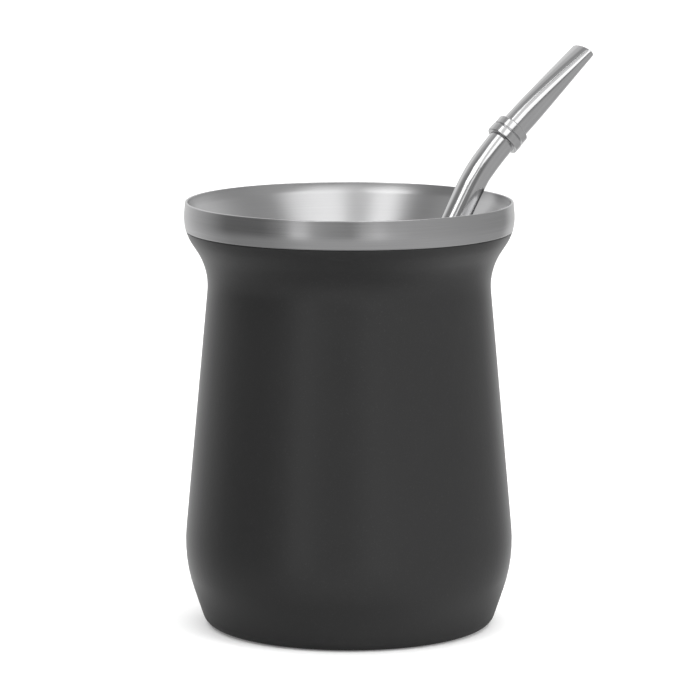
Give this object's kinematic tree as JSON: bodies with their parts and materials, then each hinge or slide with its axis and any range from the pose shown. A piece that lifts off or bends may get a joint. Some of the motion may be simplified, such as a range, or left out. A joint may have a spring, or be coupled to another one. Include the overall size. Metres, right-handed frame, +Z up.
{
  "type": "mate cup with drinking straw",
  "caption": "Flared matt black steel mate cup with a bare steel rim and inside, and a bent steel drinking straw with a flattened mouth resting in it.",
  "frame": {"origin": "middle of the flat base, on the surface the cup stands on", "axes": "+Z up along the cup's axis; the straw leans up towards +X and back towards +Y"},
  "size_m": [0.0996, 0.0794, 0.1379],
  "materials": {
    "black_coat": "matt, very fine grain",
    "brushed_steel": "satin, brushed round the mouth",
    "polished_steel": "polished",
    "collar_steel": "polished"
  },
  "bodies": {
    "root": {"outer_shell": "black_coat", "steel_liner": "brushed_steel", "straw_tube": "polished_steel", "straw_collar": "collar_steel"}
  },
  "joints": []
}
